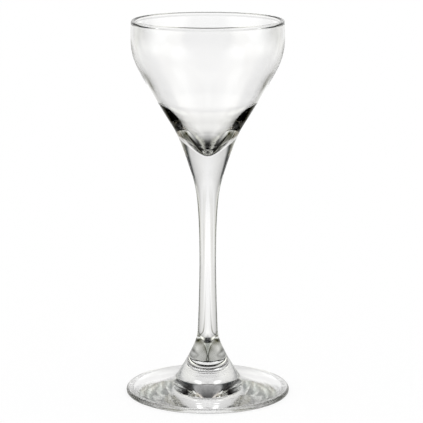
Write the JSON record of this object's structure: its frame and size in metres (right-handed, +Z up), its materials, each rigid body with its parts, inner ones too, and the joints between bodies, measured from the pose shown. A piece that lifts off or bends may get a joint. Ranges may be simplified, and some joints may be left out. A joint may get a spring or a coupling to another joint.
{
  "type": "cordial glass",
  "caption": "Small stemmed glass for cordials: tulip bowl with a heavy pointed base on a slim drawn stem that flares into a round foot.",
  "frame": {"origin": "centre of the foot, on the table it stands on", "axes": "+Z up along the axis of the glass, through the stem to the middle of the rim; X and Y lie in the table"},
  "size_m": [0.0634, 0.0634, 0.145],
  "materials": {
    "bowl_glass": "blown clear glass with a fire-polished lip",
    "stem_glass": "drawn clear glass, smooth from the heat",
    "foot_glass": "spun clear glass with faint rings from the spinning"
  },
  "bodies": {
    "root": {"bowl": "bowl_glass", "stem": "stem_glass", "foot": "foot_glass"}
  },
  "joints": []
}
